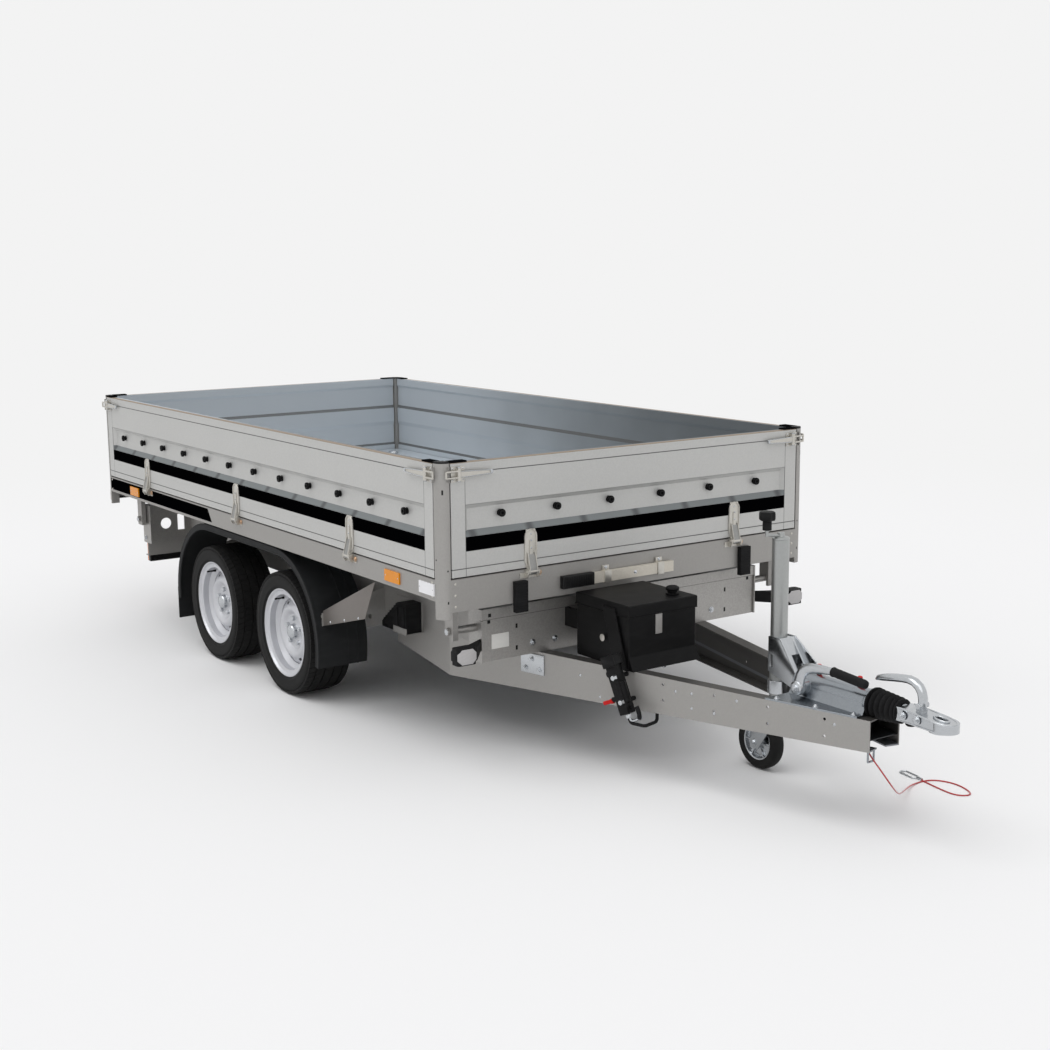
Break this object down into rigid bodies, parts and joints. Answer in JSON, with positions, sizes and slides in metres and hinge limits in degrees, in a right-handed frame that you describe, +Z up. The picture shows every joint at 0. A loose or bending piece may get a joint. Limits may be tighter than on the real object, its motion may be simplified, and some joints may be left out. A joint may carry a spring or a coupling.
{
  "type": "tipping trailer",
  "caption": "Tandem-axle three-way tipping trailer with drop boards, V drawbar, overrun coupling and jockey wheel.",
  "frame": {"origin": "on the ground under the middle of the trailer", "axes": "+Y to the rear of the trailer, +Z up, +X to its left side"},
  "size_m": [1.762, 4.778, 1.131],
  "materials": {
    "galvanised": "dull hot-dip zinc",
    "board_galvanised": "dull sendzimir zinc",
    "floor_sheet": "satin zinc sheet",
    "zinc": "bright electroplated zinc",
    "black_plastic": "moulded",
    "rubber": "moulded",
    "red_lens": "clear gloss",
    "amber_lens": "clear gloss",
    "cable_red": "coated wire",
    "tyre": "moulded tread",
    "wheel_silver": "silver lacquer",
    "ram_body": "black paint",
    "ram_chrome": "polished"
  },
  "bodies": {
    "chassis": {"side_beams": "galvanised", "cross_beams": "galvanised", "ram_cross_members": "galvanised", "drawbar_right": "galvanised", "drawbar_left": "galvanised", "overrun_housing": "zinc", "bellows": "rubber", "coupling_head": "zinc", "coupling_handle": "zinc", "handbrake_lever": "zinc", "jack_clamp": "zinc", "jack_tube": "zinc", "pump_box": "black_plastic", "hand_pump": "black_plastic", "pump_hose": "rubber", "front_lamps": "black_plastic", "rear_lamp_bar": "galvanised", "rear_lamps": "red_lens", "axle_front": "galvanised", "axle_rear": "galvanised", "mudguards": "black_plastic", "side_brackets": "galvanised", "wheel_chocks": "black_plastic", "breakaway_cable": "cable_red", "snap_hook": "zinc"},
    "bed": {"bed_floor": "floor_sheet", "bed_frame": "galvanised", "bed_beams": "galvanised", "bed_bearers": "galvanised", "corner_posts": "galvanised", "post_caps": "black_plastic", "bed_fittings": "zinc", "front_buffers": "rubber", "reflectors": "amber_lens", "pump_lever": "zinc"},
    "front_board_body": {"front_board": "board_galvanised", "front_board_fittings": "zinc"},
    "right_board_body": {"right_board": "board_galvanised", "right_board_fittings": "zinc"},
    "left_board_body": {"left_board": "board_galvanised", "left_board_fittings": "zinc"},
    "rear_board_body": {"rear_board": "board_galvanised", "rear_board_fittings": "zinc"},
    "wheel_right_front": {"wheel_right_front_tyre": "tyre", "wheel_right_front_rim": "wheel_silver"},
    "wheel_right_rear": {"wheel_right_rear_tyre": "tyre", "wheel_right_rear_rim": "wheel_silver"},
    "wheel_left_front": {"wheel_left_front_tyre": "tyre", "wheel_left_front_rim": "wheel_silver"},
    "wheel_left_rear": {"wheel_left_rear_tyre": "tyre", "wheel_left_rear_rim": "wheel_silver"},
    "jack_leg_body": {"jack_leg": "zinc"},
    "jack_fork_body": {"jack_fork": "zinc"},
    "jack_wheel": {"jack_tyre": "rubber", "jack_rim": "wheel_silver"},
    "ram_barrel_body": {"ram_barrel": "ram_body"},
    "ram_stage_1_body": {"ram_stage_1": "ram_chrome"},
    "ram_stage_2_body": {"ram_stage_2": "ram_chrome"},
    "ram_stage_3_body": {"ram_stage_3": "ram_chrome"},
    "ram_stage_4_body": {"ram_stage_4": "ram_chrome"}
  },
  "joints": [
    {"name": "bed_tip", "type": "hinge", "parent": "chassis", "child": "bed", "pos_m": [0, 2.181, 0.51], "axis": [-1, 0, 0], "range_deg": [0, 45]},
    {"name": "right_board_hinge", "type": "hinge", "parent": "bed", "child": "right_board_body", "pos_m": [-0.872, 0.746, 0.712], "axis": [0, -1, 0], "range_deg": [0, 180]},
    {"name": "left_board_hinge", "type": "hinge", "parent": "bed", "child": "left_board_body", "pos_m": [0.872, 0.746, 0.712], "axis": [0, 1, 0], "range_deg": [0, 180]},
    {"name": "front_board_hinge", "type": "hinge", "parent": "bed", "child": "front_board_body", "pos_m": [0, -0.883, 0.712], "axis": [1, 0, 0], "range_deg": [0, 90]},
    {"name": "rear_board_hinge", "type": "hinge", "parent": "bed", "child": "rear_board_body", "pos_m": [0, 2.375, 0.712], "axis": [1, 0, 0], "range_deg": [-180, 0]},
    {"name": "wheel_right_front_spin", "type": "hinge", "parent": "chassis", "child": "wheel_right_front", "pos_m": [-0.7195, 0.48, 0.2625], "axis": [1, 0, 0], "continuous": true},
    {"name": "wheel_right_rear_spin", "type": "hinge", "parent": "chassis", "child": "wheel_right_rear", "pos_m": [-0.7195, 1.187, 0.2625], "axis": [1, 0, 0], "continuous": true},
    {"name": "wheel_left_front_spin", "type": "hinge", "parent": "chassis", "child": "wheel_left_front", "pos_m": [0.7195, 0.48, 0.2625], "axis": [1, 0, 0], "continuous": true},
    {"name": "wheel_left_rear_spin", "type": "hinge", "parent": "chassis", "child": "wheel_left_rear", "pos_m": [0.7195, 1.187, 0.2625], "axis": [1, 0, 0], "continuous": true},
    {"name": "jack_height", "type": "slide", "parent": "chassis", "child": "jack_leg_body", "axis": [0, 0, -1], "range_m": [-0.04, 0.1]},
    {"name": "jack_swivel", "type": "hinge", "parent": "jack_leg_body", "child": "jack_fork_body", "pos_m": [0.143, -1.484, 0.2], "axis": [0, 0, 1], "continuous": true},
    {"name": "jack_wheel_spin", "type": "hinge", "parent": "jack_fork_body", "child": "jack_wheel", "pos_m": [0.143, -1.404, 0.1], "axis": [1, 0, 0], "continuous": true},
    {"name": "ram_tilt", "type": "hinge", "parent": "chassis", "child": "ram_barrel_body", "pos_m": [0, 0.746, 0.33], "axis": [-1, 0, 0], "range_deg": [0, 21.5]},
    {"name": "ram_slide_1", "type": "slide", "parent": "ram_barrel_body", "child": "ram_stage_1_body", "axis": [0, 0, 1], "range_m": [0, 0.27]},
    {"name": "ram_slide_2", "type": "slide", "parent": "ram_stage_1_body", "child": "ram_stage_2_body", "axis": [0, 0, 1], "range_m": [0, 0.27]},
    {"name": "ram_slide_3", "type": "slide", "parent": "ram_stage_2_body", "child": "ram_stage_3_body", "axis": [0, 0, 1], "range_m": [0, 0.27]},
    {"name": "ram_slide_4", "type": "slide", "parent": "ram_stage_3_body", "child": "ram_stage_4_body", "axis": [0, 0, 1], "range_m": [0, 0.27]}
  ],
  "couplings": [
    {"joint": "ram_tilt", "follows": "bed_tip", "ratio": 0.47578},
    {"joint": "ram_slide_1", "follows": "bed_tip", "m_per_rad": 0.3426},
    {"joint": "ram_slide_2", "follows": "bed_tip", "m_per_rad": 0.3426},
    {"joint": "ram_slide_3", "follows": "bed_tip", "m_per_rad": 0.3426},
    {"joint": "ram_slide_4", "follows": "bed_tip", "m_per_rad": 0.3426}
  ]
}
